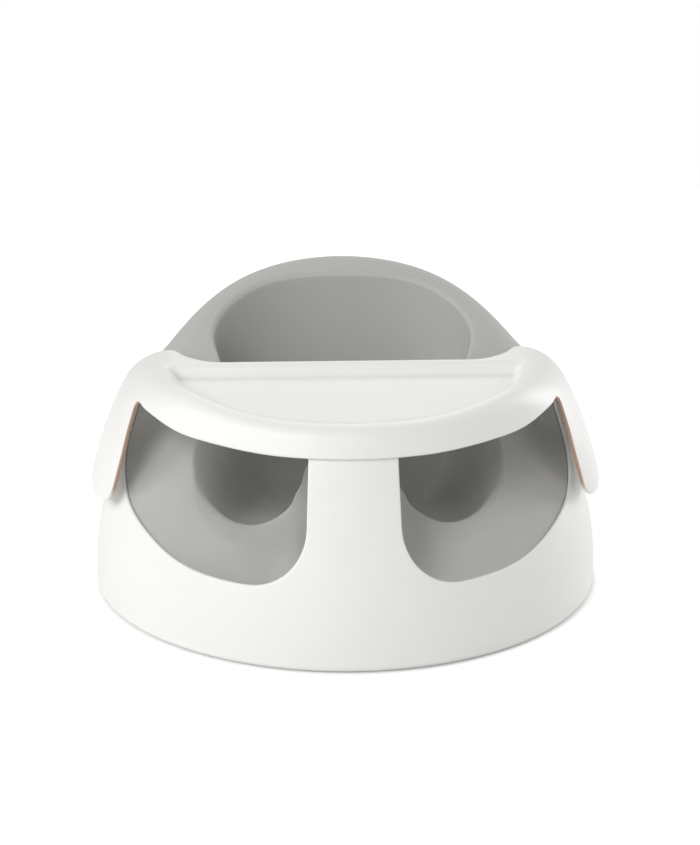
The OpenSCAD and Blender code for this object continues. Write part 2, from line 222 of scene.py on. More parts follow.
class MeshParts:
    """Closed surfaces in millimetres that are gathered into one mesh in metres."""

    def __init__(self) -> None:
        """Starts with no surface."""
        self.points: list[Array] = []
        self.marks: list[Array] = []
        self.faces: list[Array] = []
        self.count = 0

    def add(self, grid: Array, wrap_rows: bool = False, caps: bool = True,
            mark: Array | float = 0.0) -> None:
        """Adds a grid whose columns close on themselves, with its faces outwards.

        Args:
            grid: points, shape (rows, columns, 3).
            wrap_rows: whether the last row joins the first.
            caps: whether open ends are closed by a fan round their middle.
            mark: a number from 0 to 1 for each point, which its material may read.
        """
        rows, cols = grid.shape[:2]
        index = self.count + np.arange(rows * cols).reshape(rows, cols)
        if wrap_rows:
            index = np.vstack([index, index[:1]])
        a, c = index[:-1], index[1:]
        faces = [np.stack([a, np.roll(a, -1, 1), np.roll(c, -1, 1), c], -1).reshape(-1, 4)]
        cloud, marks = grid.reshape(-1, 3), np.broadcast_to(mark, (rows, cols)).ravel()
        if caps and not wrap_rows:
            low = np.full(cols, self.count + len(cloud))
            faces += [np.stack([low, np.roll(index[0], -1), index[0]], -1),
                      np.stack([low + 1, index[-1], np.roll(index[-1], -1)], -1)]
            cloud = np.vstack([cloud, grid[0].mean(0), grid[-1].mean(0)])
            marks = np.r_[marks, marks[0], marks[-1]]
        threes = np.vstack([faces[0][:, [0, 1, 2]], faces[0][:, [0, 2, 3]], *faces[1:]])
        corner = cloud[threes - self.count]
        volume = np.einsum("ij,ij->", corner[:, 0], np.cross(corner[:, 1], corner[:, 2]))
        self.faces += faces if volume >= 0 else [f[:, ::-1] for f in faces]
        self.points.append(cloud)
        self.marks.append(marks)
        self.count += len(cloud)

    def mirror(self) -> None:
        """Adds the mirror image of everything so far, left for right."""
        self.faces += [f[:, ::-1] + self.count for f in self.faces]
        self.points += [p * [-1, 1, 1] for p in self.points]
        self.marks += self.marks[:]
        self.count *= 2

    def object(self, name: str) -> bpy.types.Object:
        """Makes the smooth-shaded object, at the origin, with its place in its mesh.

        Args:
            name: the object's name.

        Returns:
            The object, whose mesh carries the marks if there are any.
        """
        mesh = bpy.data.meshes.new(name)
        faces = [f for part in self.faces for f in part.tolist()]
        mesh.from_pydata((np.vstack(self.points) * MM).tolist(), [], faces)
        mesh.polygons.foreach_set("use_smooth", np.ones(len(faces), bool))
        marks = np.concatenate(self.marks)
        if marks.any():
            mesh.attributes.new("mark", "FLOAT", "POINT").data.foreach_set("value", marks)
        mesh.update()
        return placed(name, mesh)


# ---- Shader expressions -----------------------------------------------------------------


class Signal:
    """A number on its way through a material, so that shader maths reads as Python."""

    def __init__(self, paint: "Paint", socket: bpy.types.NodeSocket) -> None:
        """Wraps an output socket of a material."""
        self.paint, self.socket = paint, socket

    def _math(self, operation: str, first: object, second: object) -> "Signal":
        """Adds a Math node for first and second."""
        return self.paint.node("ShaderNodeMath", {"operation": operation}, {0: first, 1: second})

    def __add__(self, other: object) -> "Signal":
        """self + other."""
        return self._math("ADD", self, other)

    def __radd__(self, other: object) -> "Signal":
        """other + self."""
        return self._math("ADD", other, self)

    def __sub__(self, other: object) -> "Signal":
        """self - other."""
        return self._math("SUBTRACT", self, other)

    def __rsub__(self, other: object) -> "Signal":
        """other - self."""
        return self._math("SUBTRACT", other, self)

    def __mul__(self, other: object) -> "Signal":
        """self * other."""
        return self._math("MULTIPLY", self, other)

    def __rmul__(self, other: object) -> "Signal":
        """other * self."""
        return self._math("MULTIPLY", other, self)

    def step(self, start: float, end: float) -> "Signal":
        """Smooth step from 0 at start to 1 at end, or falling if end is the smaller.

        Args:
            start: where the step is 0.
            end: where the step is 1.

        Returns:
            The share of the step.
        """
        return self.paint.node(
            "ShaderNodeMapRange", {"interpolation_type": "SMOOTHSTEP", "clamp": True},
            {"Value": self, "From Min": min(start, end), "From Max": max(start, end),
             "To Min": float(start > end), "To Max": float(start < end)})


class Paint:
    """Builds one procedural material."""

    def __init__(self, name: str) -> None:
        """Starts a material with its main shader.

        Args:
            name: the material's name.
        """
        self.material = bpy.data.materials.new(name)
        self.material.use_nodes = True
        self.tree = self.material.node_tree
        self.tree.nodes.clear()
        self.shader = self.tree.nodes.new("ShaderNodeBsdfPrincipled")
        out = self.tree.nodes.new("ShaderNodeOutputMaterial")
        self.tree.links.new(self.shader.outputs[0], out.inputs["Surface"])
        self.place = self.node("ShaderNodeTexCoord", {}, {}, "Object")

    def feed(self, socket: bpy.types.NodeSocket, value: object) -> None:
        """Links a signal to a socket, or sets the socket to a plain value.

        Args:
            socket: an input of a node.
            value: a signal, a number, or a colour of three numbers.
        """
        if isinstance(value, Signal):
            self.tree.links.new(value.socket, socket)
        elif isinstance(value, tuple) and len(value) == 3 and socket.type == "RGBA":
            socket.default_value = (*value, 1.0)
        else:
            socket.default_value = value

    def node(self, kind: str, settings: dict, inputs: dict, output: object = 0) -> Signal:
        """Adds a node.

        Args:
            kind: the node's type.
            settings: its settings, such as a Math node's operation.
            inputs: a value or a signal for each socket, by name or number.
            output: the output that is wanted, by name or number.

        Returns:
            That output.
        """
        made = self.tree.nodes.new(kind)
        for key, value in settings.items():
            setattr(made, key, value)
        for key, value in inputs.items():
            self.feed(made.inputs[key], value)
        return Signal(self, made.outputs[output])

    def noise(self, size_mm: float, detail: float = 2.0, rough: float = 0.5) -> Signal:
        """Cloudy noise from 0 to 1 with blotches about size_mm wide."""
        return self.node("ShaderNodeTexNoise", {}, {
            "Vector": self.place, "Scale": 1 / (size_mm * MM), "Detail": detail,
            "Roughness": rough})

    def cells(self, size_mm: float) -> Signal:
        """Pebbled cells about size_mm wide: 0 at each middle."""
        return self.node("ShaderNodeTexVoronoi", {"feature": "SMOOTH_F1"}, {
            "Vector": self.place, "Scale": 1 / (size_mm * MM), "Smoothness": 0.6}, "Distance")

    def mark(self) -> Signal:
        """The number that the mesh carries at each point."""
        return self.node("ShaderNodeAttribute", {"attribute_name": "mark"}, {}, "Fac")

    def height(self) -> Signal:
        """The z of the place on the piece, in metres."""
        return self.node("ShaderNodeSeparateXYZ", {}, {0: self.place}, "Z")

    def mix(self, share: Signal, a: object, b: object) -> Signal:
        """Colour from a to b by the share, in the node's sockets 6 and 7, out of its 2."""
        return self.node("ShaderNodeMix", {"data_type": "RGBA"}, {0: share, 6: a, 7: b}, 2)

    def relief(self, height: Signal, depth_mm: float) -> Signal:
        """Surface relief from a height between 0 and 1 that is depth_mm tall."""
        return self.node("ShaderNodeBump", {}, {
            "Strength": 1.0, "Distance": depth_mm * MM, "Height": height}, "Normal")

    def set(self, **sockets: object) -> bpy.types.Material:
        """Feeds the main shader's sockets, named with _ for each space, and ends the work."""
        for name, value in sockets.items():
            self.feed(self.shader.inputs[name.replace("_", " ")], value)
        return self.material


# ---- Finishes ---------------------------------------------------------------------------


class Gloss(Enum):
    """How a moulded face was finished in its tool, as its roughness."""

    SATIN = 0.42
    MATTE = 0.58


@dataclass(frozen=True)
class MouldedPlastic:
    """Polypropylene with the fine orange-peel of its tool and faint handling marks."""

    name: str
    slot: str
    colour: Colour
    dulled: Colour
    # Tone of the painted warm shade on the marked strip, if the piece has one
    painted_shade_strip: Colour | None = None
    gloss: Gloss = Gloss.SATIN
    peel_mm: float = 1.1
    peel_depth_mm: float = 0.012
    cloud_mm: float = 90.0
    scuff_mm: float = 12.0
    # Heights in metres between which the rubbed foot fades in, downwards
    rubbed_z: tuple[float, float] = (0.014, 0.001)

    def material(self) -> bpy.types.Material:
        """Colour drifts a little towards the dulled tone in broad clouds and where scuffs
        lie near the floor, and roughness and relief follow fine noise.

        Returns:
            The material.
        """
        p = Paint(self.name)
        clouds, peel = p.noise(self.cloud_mm, 3.0), p.noise(self.peel_mm)
        scuffs = p.noise(self.scuff_mm, 4.0, 0.7).step(0.6, 0.75)
        rubbed = p.height().step(*self.rubbed_z) * scuffs
        dull = clouds.step(0.42, 0.75) * 0.35 + rubbed * 0.5
        tone = p.mix(dull, self.colour, self.dulled)
        # Painted warm shade: the marked strip takes its tan tone in place of the plastic's own
        if self.painted_shade_strip:
            tone = p.mix(p.mark(), tone, self.painted_shade_strip)
        return p.set(
            Base_Color=tone,
            Roughness=self.gloss.value + (peel - 0.5) * 0.1 + scuffs * 0.05,
            Normal=p.relief(peel, self.peel_depth_mm),
            Specular_IOR_Level=0.42, IOR=1.49)


@dataclass(frozen=True)
class FoamSkin:
    """Self-skinned foam: soft, matt, finely pebbled, a little darker in its pores."""

    name: str = "warm_grey_foam_skin"
    slot: str = "foam_skin"
    colour: Colour = (0.505, 0.503, 0.480)
    pored: Colour = (0.444, 0.442, 0.418)
    # Painted shade inside the bowl, on the points that carry the mesh's mark
    painted_bowl_shade: Colour = (0.420, 0.419, 0.398)
    pebble_mm: float = 1.3
    grain_mm: float = 0.6
    cloud_mm: float = 60.0
    pebble_depth_mm: float = 0.05

    def material(self) -> bpy.types.Material:
        """Pebbles are smooth cells with finer grain on them, and the colour sinks a
        little between them and in broad clouds.

        Returns:
            The material.
        """
        p = Paint(self.name)
        pebbles, grain = p.cells(self.pebble_mm), p.noise(self.grain_mm)
        clouds = p.noise(self.cloud_mm, 3.0)
        deep = pebbles.step(0.35, 0.9) * 0.35 + clouds.step(0.45, 0.8) * 0.3
        return p.set(
            # Painted shade: the marked inside of the bowl takes the darker tone
            Base_Color=p.mix(p.mark(), p.mix(deep, self.colour, self.pored), self.painted_bowl_shade),
            Roughness=0.62 + pebbles * 0.12 + (grain - 0.5) * 0.06,
            Normal=p.relief((1 - pebbles) * 0.7 + grain * 0.3, self.pebble_depth_mm),
            Specular_IOR_Level=0.35, Sheen_Weight=0.08, Sheen_Roughness=0.6)


@dataclass(frozen=True)
class PlatedSteel:
    """Bright zinc on small screws, finely grained, with duller spots."""

    name: str = "zinc_plated_steel"
    slot: str = "screw_steel"
    colour: Colour = (0.62, 0.63, 0.65)
    worn: Colour = (0.42, 0.42, 0.41)
    grain_mm: float = 0.4
    grain_depth_mm: float = 0.01
    spot_mm: float = 2.0

    def material(self) -> bpy.types.Material:
        """Metal whose roughness and tone follow fine noise.

        Returns:
            The material.
        """
        p = Paint(self.name)
        grain, spots = p.noise(self.grain_mm, 3.0), p.noise(self.spot_mm, 3.0)
        return p.set(
            Base_Color=p.mix(spots.step(0.45, 0.7) * 0.6, self.colour, self.worn),
            Metallic=1.0, Roughness=0.3 + grain * 0.15,
            Normal=p.relief(grain, self.grain_depth_mm))


@dataclass(frozen=True)
class Rubber:
    """Dark non-slip rubber, dusty where it rubs the floor."""

    name: str = "foot_rubber_dark"
    slot: str = "foot_rubber"
    colour: Colour = (0.05, 0.05, 0.052)
    dusty: Colour = (0.13, 0.128, 0.12)
    dust_mm: float = 3.0
    grain_mm: float = 0.7
    grain_depth_mm: float = 0.04
    # Heights in metres between which the dust fades in, downwards
    dusty_z: tuple[float, float] = (0.0018, 0.0002)

    def material(self) -> bpy.types.Material:
        """Dust follows noise and is thicker near the floor.

        Returns:
            The material.
        """
        p = Paint(self.name)
        dust, grain = p.noise(self.dust_mm, 3.0).step(0.4, 0.7), p.noise(self.grain_mm)
        return p.set(
            Base_Color=p.mix(dust * p.height().step(*self.dusty_z), self.colour, self.dusty),
            Roughness=0.75 + (grain - 0.5) * 0.2, Normal=p.relief(grain, self.grain_depth_mm))


Finish = MouldedPlastic | FoamSkin | PlatedSteel | Rubber


def dress(finish: Finish, *pieces: bpy.types.Object) -> None:
    """Gives pieces a finish's material, which they share.

    Args:
        finish: one of the finishes above.
        pieces: the objects.
    """
    material = finish.material()
    for piece in pieces:
        piece.data.materials.clear()
        piece.data.materials.append(material)


# ---- Base shell -------------------------------------------------------------------------


@dataclass
class Body:
    """The outline that the shell, the foam and the tray share."""

    base_r: float = 207.0
    wall: float = 3.5
    lean_start: float = 10.0
    lean_radius: float = 235.0
    lean_angle: float = np.radians(18.8)
    side_rim_h: float = 166.0
    rim_back_h: float = 217.0
    # Power with which the rim sweeps up towards the back
    rim_sweep: float = 2.6
    sill_h: float = 64.0
    post_top: float = 172.0

    @property
    def lean_end(self) -> float:
        """Height above which the side is straight."""
        return self.lean_start + self.lean_radius * np.sin(self.lean_angle)

    def radius(self, z: Array) -> Array:
        """Outside radius: upright, then an arc of lean_radius, then straight.

        Args:
            z: heights.

        Returns:
            The radius at each.
        """
        z = np.asarray(z, float)
        rise = np.clip(z, self.lean_start, self.lean_end) - self.lean_start
        arc = self.base_r - self.lean_radius + np.sqrt(self.lean_radius**2 - rise**2)
        return arc - np.tan(self.lean_angle) * np.maximum(z - self.lean_end, 0)

    def inside(self, z: Array) -> Array:
        """Radius of the wall's inner face at height z."""
        return self.radius(z) - self.wall

    def middle(self, z: Array) -> Array:
        """Radius of the middle of the wall at height z."""
        return self.radius(z) - self.wall / 2

    def lean(self, z: Array) -> Array:
        """Angle of the side from upright at height z, in radians."""
        rise = (np.asarray(z, float) - self.lean_start) / self.lean_radius
        return np.arcsin(np.clip(rise, 0, np.sin(self.lean_angle)))

    def rim_z(self, y: Array) -> Array:
        """Height of the rim behind the middle: level at the sides, swept up at the back."""
        back = np.maximum(0, y) / self.radius(self.rim_back_h)
        return blend(self.side_rim_h, self.rim_back_h, back**self.rim_sweep)


@dataclass(frozen=True)
class Tongue:
    """The tongue inside each arm of the tray, and the pocket for it on the shell's side."""

    width: float = 24.0
    thick: float = 3.0
    middle_y: float = 2.0
    # How far its inner face stands off the shell at the pocket's floor
    stand_off: float = 2.3
    floor_z: float = 134.0
    top_z: float = 149.0
    play: float = 0.3

    def sides(self, body: Body, grow: float) -> tuple[tuple, tuple]:
        """Its two sides across and its two sides along, moved out by grow."""
        x, half = float(body.radius(self.floor_z)) + self.stand_off, self.width / 2 + grow
        return (x - grow, x + self.thick + grow), (self.middle_y - half, self.middle_y + half)


@dataclass
class BaseShell:
    """The round moulding with its two leg openings, front post, sockets and bosses."""

    body: Body
    tongue: Tongue
    edge_r: float = 4.0
    flange_w: float = 21.0
    # Rounding of the flange's inner edge
    nose_r: float = 1.5
    foot_h: float = 1.0
    post_w: float = 62.0
    # The post's widening on each side at the top of its lower corners, which would end at
    # the height flare_h
    post_flare: float = 4.5
    flare_h: float = 229.0
    opening_r: float = 46.0
    post_corner_r: float = 8.0
    columns: int = 600
    wall_rows: int = 44
    # Side edge of an opening: distance in front of the middle, share from sill to side rim
    side_edge: tuple[tuple[float, float], ...] = (
        (0, 1), (13, .95), (18, .82), (20.5, .67), (27, .56), (40, .466), (58, .368),
        (76, .285), (97, .213), (122, .13), (144, .055), (164, .012), (178, 0))
    # Bearings of the column feet under the ends of rim, side, sill, corner, post and top
    feet: tuple[float, ...] = (0, 90, 147, 160.4, 171.8, 175.8, 180)
    # Width of the bell that softens the upper edge, in columns
    soften: float = 1.1
    # Socket on each side: wall round the pocket, how far it is let into the shell, radius
    # of its corners, and the heights where it leaves the shell and is fully out
    socket_wall: float = 2.4
    socket_root: float = 2.6
    socket_r: float = 0.9
    socket_z: tuple[float, float] = (108.0, 128.0)
    # Screw bosses: their number, radius of their circle, their own, foot and top
    fixings: int = 6
    fixing_r: float = 175.0
    boss_r: float = 5.0
    boss_z: tuple[float, float] = (23.0, 45.0)

    def edge_half(self) -> tuple[Array, Array]:
        """Upper edge of one side, at the middle of the wall, from the back to the front:
        rim, side, sill, corner, post, shoulder and top, then evenly divided.

        Returns:
            Its points, and the bearing of the foot of the column under each, in radians.
        """
        b, half = self.body, self.post_w / 2 + self.post_flare
        corner_x, arc_top = half + self.opening_r, b.sill_h + self.opening_r

        def across(y: Array, z: Array) -> Array:
            """Points on the wall with a given y and z."""
            return xyz(np.sqrt(np.maximum(b.middle(z) ** 2 - y * y, 0)), y, z)

        def facing(x: Array, z: Array) -> Array:
            """Points on the front of the wall with a given x and z."""
            return xyz(x, -np.sqrt(b.middle(z) ** 2 - x * x), z)

        back_y = b.middle(b.rim_back_h)
        y = back_y * np.cos(np.linspace(0, np.pi / 2, 200))
        rim = across(y, b.rim_z(y * b.radius(b.rim_back_h) / back_y))
        drop = np.array(self.side_edge)
        run = travelled(drop * [1, b.side_rim_h - b.sill_h])
        fine = spline(run, drop, np.linspace(0, run[-1], 260))
        side = across(-fine[:, 0], blend(b.sill_h, b.side_rim_h, np.clip(fine[:, 1], 0, 1)))
        sill = facing(np.linspace(side[-1, 0], corner_x, 30)[1:], b.sill_h)
        a = np.radians(np.linspace(270, 180, 90))[1:]
        arc = facing(corner_x + self.opening_r * np.cos(a), arc_top + self.opening_r * np.sin(a))
        z = np.linspace(arc_top, b.post_top - self.post_corner_r, 60)[1:]
        post = facing(half - self.post_flare * (z - arc_top) / (self.flare_h - arc_top), z)
        a = np.radians(np.linspace(0, 90, 20))[1:]
        shoulder = facing(post[-1, 0] - self.post_corner_r * (1 - np.cos(a)),
                          z[-1] + self.post_corner_r * np.sin(a))
        top = facing(np.linspace(shoulder[-1, 0], 0, 25)[1:], b.post_top)
        lines = [rim, side[1:], sill, arc, np.vstack([post, shoulder]), top]
        ends = np.cumsum([len(line) for line in lines]) - 1
        line = np.vstack(lines)
        run = travelled(line)
        foot = monotone(np.r_[0, run[ends]], np.radians(self.feet)[:, None], run)
        even = np.linspace(0, run[-1], self.columns // 2 + 1)
        points = np.stack([np.interp(even, run, line[:, k]) for k in range(3)], -1)
        return points, np.interp(even, run, foot[:, 0])

    def edge(self) -> tuple[Array, Array]:
        """The whole upper edge as a closed loop, softened by a short bell-shaped average
        of neighbouring points.

        Returns:
            Its points, and the bearings of the column feet, in radians.
        """
        half, foot = self.edge_half()
        loop = np.vstack([half, half[-2:0:-1] * [-1, 1, 1]])
        feet = np.r_[foot, 2 * np.pi - foot[-2:0:-1]]
        reach = np.arange(-3, 4)
        weight = np.exp(-0.5 * (reach / self.soften) ** 2)
        soft = sum(w * np.roll(loop, k, 0) for k, w in zip(reach, weight / weight.sum()))
        r = self.body.middle(soft[:, 2])
        soft[:, :2] *= (r / np.linalg.norm(soft[:, :2], axis=1))[:, None]
        return soft, feet

    def skin(self) -> Array:
        """Closed grid of the wall: flange, rolled corner, outer face, half-round edge,
        inner face and flange again, one column for each point of the upper edge.

        The half-round goes about a line one radius inside the edge: centre + radius *
        (cos a * outward + sin a * away from the wall), for a from 0 to 180 degrees.

        Returns:
            Points, shape (rows, columns, 3).
        """
        b, t, r, floor = self.body, self.body.wall, self.edge_r, self.foot_h
        low, nose = floor + r, b.base_r - self.flange_w + self.nose_r
        edge, feet = self.edge()
        lean = b.lean(edge[:, 2])
        out = polar(np.cos(lean), np.arctan2(edge[:, 0], edge[:, 1]), np.sin(lean))
        away = unit(np.cross(unit(np.roll(edge, -1, 0) - np.roll(edge, 1, 0)), out))
        radius = (t / 2 * np.cos(lean))[:, None]
        crown = [edge - radius * away + radius * (np.cos(a) * out + np.sin(a) * away)
                 for a in np.radians(np.linspace(0, 180, 11))]

        def wall(top: Array, inset: float, base: float, shares: Array) -> list[Array]:
            """Level-ish rings on a face of the wall, whose columns turn from the bearing
            of their foot to that of their top.

            Args:
                top: upper ends of the columns.
                inset: distance of the face inside the outer one.
                base: height of the feet.
                shares: where each ring lies between foot and top.

            Returns:
                The rings.
            """
            turn = np.arctan2(top[:, 0], top[:, 1]) - feet
            turn = (turn + np.pi) % (2 * np.pi) - np.pi
            heights = [blend(base, top[:, 2], v) for v in shares]
            return [polar(b.radius(z) - inset, feet + turn * v, z) for z, v in zip(heights, shares)]

        shares = np.linspace(0, 1, self.wall_rows + 2)[1:-1]
        rows = [(x, floor) for x in np.linspace(nose, b.base_r - r, 6)[:-1]]
        rows += [(b.base_r - r + r * np.cos(a), low + r * np.sin(a))
                 for a in np.radians(np.linspace(-90, 0, 8))]
        ends = [(b.base_r - t, low + t), (b.base_r - t - 0.6, floor + t + 0.6)]
        ends += [(x, floor + t) for x in np.linspace(b.base_r - t - 2, nose, 6)]
        ends += [(nose - self.nose_r * np.sin(a), floor + t / 2 + t / 2 * np.cos(a))
                 for a in np.radians([30, 60, 90, 120, 150])]
        return np.stack([
            *(polar(x, feet, z) for x, z in rows),
            *wall(crown[0], 0.0, low, shares), *crown,
            *wall(crown[-1], t, low + t, shares[::2])[::-1],
            *(polar(x, feet, z) for x, z in ends)])

    def socket(self) -> Array:
        """A block on the side of the wall with the tray tongue's pocket in its top: level
        rounded rectangles stacked from its thin foot to its top, then down the pocket.

        Returns:
            Points, shape (rows, columns, 3).
        """
        b, top, floor, play = self.body, self.tongue.top_z, self.tongue.floor_z, self.tongue.play
        (_, out_x), y = self.tongue.sides(b, play + self.socket_wall)
        low, full = self.socket_z
        a = around(64, 0.5)
        rows = []
        for z in (low, low + 4, low + 10, low + 16, full, full + 10, top - 1):
            reach = np.interp(z, [low, full], [b.radius(low) - 0.4, out_x])
            rows.append((b.radius(z) - self.socket_root, reach, y, self.socket_r, z))
        for turn in np.radians([30, 60, 90]):
            d = 1 - np.cos(turn)
            rows.append((b.radius(top) - self.socket_root, out_x - d, (y[0] + d, y[1] - d),
                         self.socket_r, top - 1 + np.sin(turn)))
        for grow, z in ((0.6, top), (0.2, top - 0.2), (0.0, top - 0.7), (0.0, floor + 0.4),
                        (-0.4, floor)):
            x, sides = self.tongue.sides(b, play + grow)
            rows.append((*x, sides, 0.5, z))
        return np.stack([xyz(*rounded((x0, x1), y, r, a), z) for x0, x1, y, r, z in rows])

    def boss(self, turn: float) -> list[Array]:
        """A screw boss, round with a soft top, and the web that ties it to the wall.

        Args:
            turn: angle by which both are turned about the middle of the base, in radians.

        Returns:
            Points of each, shape (rows, columns, 3).
        """
        b, x, (low, high), a = self.body, self.fixing_r, self.boss_z, around(32)
        profile = ((0, low), (0, high - 0.8), (0.25, high - 0.25), (0.8, high), (4.4, high))
        post = [xyz(x + (self.boss_r - d) * np.cos(a), (self.boss_r - d) * np.sin(a), z)
                for d, z in profile]
        half = b.wall / 2 - 0.4
        outline = rounded((x + 2, b.middle(high)), (-half, half), 0.5, a)
        plate = [xyz(*outline, z) for z in (low, high - 2.4, high - 2.0)]
        c, s = np.cos(turn), np.sin(turn)
        turned = np.array([[c, s, 0], [-s, c, 0], [0, 0, 1]])
        return [np.stack(post) @ turned, np.stack(plate) @ turned]

    def build(self) -> bpy.types.Object:
        """Makes the shell, which replaces the plain one of the frame.

        Returns:
            The piece.
        """
        parts = MeshParts()
        parts.add(self.socket())
        parts.mirror()
        parts.add(self.skin(), wrap_rows=True)
        for turn in around(self.fixings, 0.5):
            for grid in self.boss(turn):
                parts.add(grid)
        piece = parts.object("moulded_base_shell")
        dress(MouldedPlastic("white_shell_plastic", "shell_plastic",
                             colour=(0.90, 0.895, 0.875), dulled=(0.86, 0.855, 0.83)), piece)
        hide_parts("base_shell")
        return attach(piece, "base")


# ---- Foam insert ------------------------------------------------------------------------


@dataclass
class FoamInsert:
    """The foam seat: a bowl with a high rounded back, two thigh troughs and a bulge."""

    shell: BaseShell
    back_h: float = 236.0
    thigh_h: float = 79.0
    # Where the rim's tilted plane has the thighs' height and the back's
    rim_y: tuple[float, float] = (-137.0, 134.0)
    seat_h: float = 60.0
    gap: float = 0.05
    tuck: float = 1.2
    plug_r: float = 165.0
    plug_h: float = 44.0
    bottom_h: float = 23.3
    columns: int = 480
    # Bearings up to which the edge follows the opening's, and up to which that is known
    side_to: float = 150.0
    known_to: float = 155.0
    # Lap over the shell's rim: its height there, how far the plane is over the rim where
    # it starts, and how much further where it reaches the outside
    lap_h: float = 0.8
    lap_from: float = 3.0
    lap_rise: float = 8.0
    # Middle of the seat, and the shares of the fold's place where the side starts to rise
    middle: tuple[float, float] = (0.0, 10.0)
    start: tuple[float, float] = (0.6, 0.3)
    # Power of the side's rise, what a low side adds to it, and the rise that adds nothing
    rising: tuple[float, float, float] = (2.2, 1.8, 70.0)
    # Length of the rounded outer edge and of its turn down, over the rim and elsewhere
    edge_l: tuple[float, float] = (2.2, 0.25)
    turn_l: tuple[float, float] = (1.4, 0.25)
    # Depth and draught of the upright side under that edge
    side_h: float = 5.0
    draught: float = 0.5
    # Fold of the foam rim (x, y), bearing of its outer edge from the back, and the height
    # of the shell there as a share from sill to side rim, for height and for reach
    stations: tuple[tuple[float, ...], ...] = (
        (0, 121, 0, 1, 1), (43, 118, 20, 1, 1), (75, 107, 36, 1, 1), (96, 90, 50, 1, 1),
        (108, 72, 60, 1, 1), (111, 53, 68, 1, 1), (106, 31, 77, 1, 1), (104, 7, 87, 1, 1),
        (110, -17, 95, .93, .93), (119, -36, 98.5, .56, .56), (124, -57, 104.5, .43, .43),
        (124, -82, 113, .28, .28), (118, -107, 124, .13, .13), (102, -129, 138, .01, .01),
        (81, -137, 151, 0, 0), (62, -132, 160, .02, .03), (50, -119, 166, .1, .14),
        (46, -109, 167.6, .11, .24), (40, -96, 168.9, .08, 1.12), (35, -78, 172, .06, 1.12),
        (20, -62, 176, .06, 1.12), (0, -57, 180, .06, 1.12))
    # For a bearing from the back: how far the crest lies inside the fold, how much of that
    # is rounded, how much of the bowl's side is rounded, and the power of the roll outwards
    roundings: tuple[tuple[float, ...], ...] = (
        (0, 4, 4, 7, 3.3), (45, 4, 4, 7, 2.75), (86, 5, 5, 9, 2.0), (96, 3, 4, 11, 1.5),
        (106, 4, 5, 11, 1.25), (116, 8, 7, 11, 1.25), (126, 14, 10, 10, 1.25),
        (140, 18, 10, 9, 1.25), (152, 20, 11, 9, 1.3), (160, 22, 12, 9, 1.4),
        (167, 20, 13, 10, 1.8), (174, 12, 12, 12, 2.1), (180, 9, 12, 14, 2.3))

    def round_trip(self) -> tuple[Array, Array, Array, Array]:
        """Smooth values all the way round: the stations and their mirror image carry a
        cubic spline, and the shares a cubic that never overshoots.

        Returns:
            Fold (n, 2), bearing in radians, share for height, share for reach.
        """
        s = np.array(self.stations, float)
        turn = np.array([0, 0, 360, 0, 0])
        whole = np.vstack([s, s[-2:0:-1] * [-1, 1, -1, 1, 1] + turn])
        lap = 6
        wide = np.vstack([whole[-lap:] - turn, whole, whole[:lap] + turn])
        knots = np.arange(len(wide)) - float(lap)
        at = np.arange(self.columns) * (len(whole) / self.columns)
        line, share = spline(knots, wide[:, :3], at), monotone(knots, wide[:, 3:], at)
        return line[:, :2], np.radians(line[:, 2]), share[:, 0], share[:, 1]

    def rim_plane(self, y: Array) -> Array:
        """Height of the tilted plane in which the foam rim lies."""
        return blend(self.thigh_h, self.back_h, (y - self.rim_y[0]) / np.ptp(self.rim_y))

    def opening_z(self, ahead: Array) -> Array:
        """Height of the shell's edge beside and under an opening.

        Args:
            ahead: bearings in degrees from the back, on either side.

        Returns:
            The height on each, which holds below the bearing known_to.
        """
        line = self.shell.edge()[0][: self.shell.columns // 2]
        turn = np.degrees(np.arctan2(line[:, 0], line[:, 1]))
        last = int(np.argmax(turn > self.known_to))
        return np.interp(ahead, turn[:last], line[:last, 2])

    def outer_line(self, bearing: Array, share: Array, reach: Array) -> tuple[Array, ...]:
        """Outer edge of the foam: over the shell's rim at the back, and tucked in behind
        the shell's edge at the sides and in front.

        Args:
            bearing: bearings in radians.
            share: height of the shell's edge there, from sill to side rim.
            reach: the same for the height whose inner radius the foam keeps clear of.

        Returns:
            Radius inside the wall, height of the shell's edge, whether the foam laps over
            it, and the outer edge's radius and height.
        """
        b = self.shell.body
        ahead = np.abs(np.degrees(bearing) - 360 * (bearing > np.pi))
        z = np.full(len(bearing), b.rim_back_h)
        for _ in range(12):
            z = (z + b.rim_z(b.inside(z) * np.cos(bearing))) / 2
        beside = self.opening_z(ahead)
        behind = np.minimum(b.post_top, blend(b.sill_h, b.side_rim_h, reach))
        at_side = ahead < self.side_to
        top = np.where(ahead < 90, z, np.where(at_side, beside - self.tuck, behind))
        passing = b.inside(top) - self.gap
        y = passing * np.cos(bearing)
        front = np.where(at_side, beside, blend(b.sill_h, b.side_rim_h, share))
        edge = np.where(y > 0, b.rim_z(y), front)
        over = self.rim_plane(y) - edge - self.lap_from
        laps = (y > 0) & (over > 0)
        radius = passing + laps * np.clip(over / self.lap_rise, 0, 1) * (b.wall + self.gap)
        lapped = b.rim_z(radius * np.cos(bearing)) + self.lap_h
        return passing, edge, laps, radius, np.where(laps, lapped, edge - self.tuck)

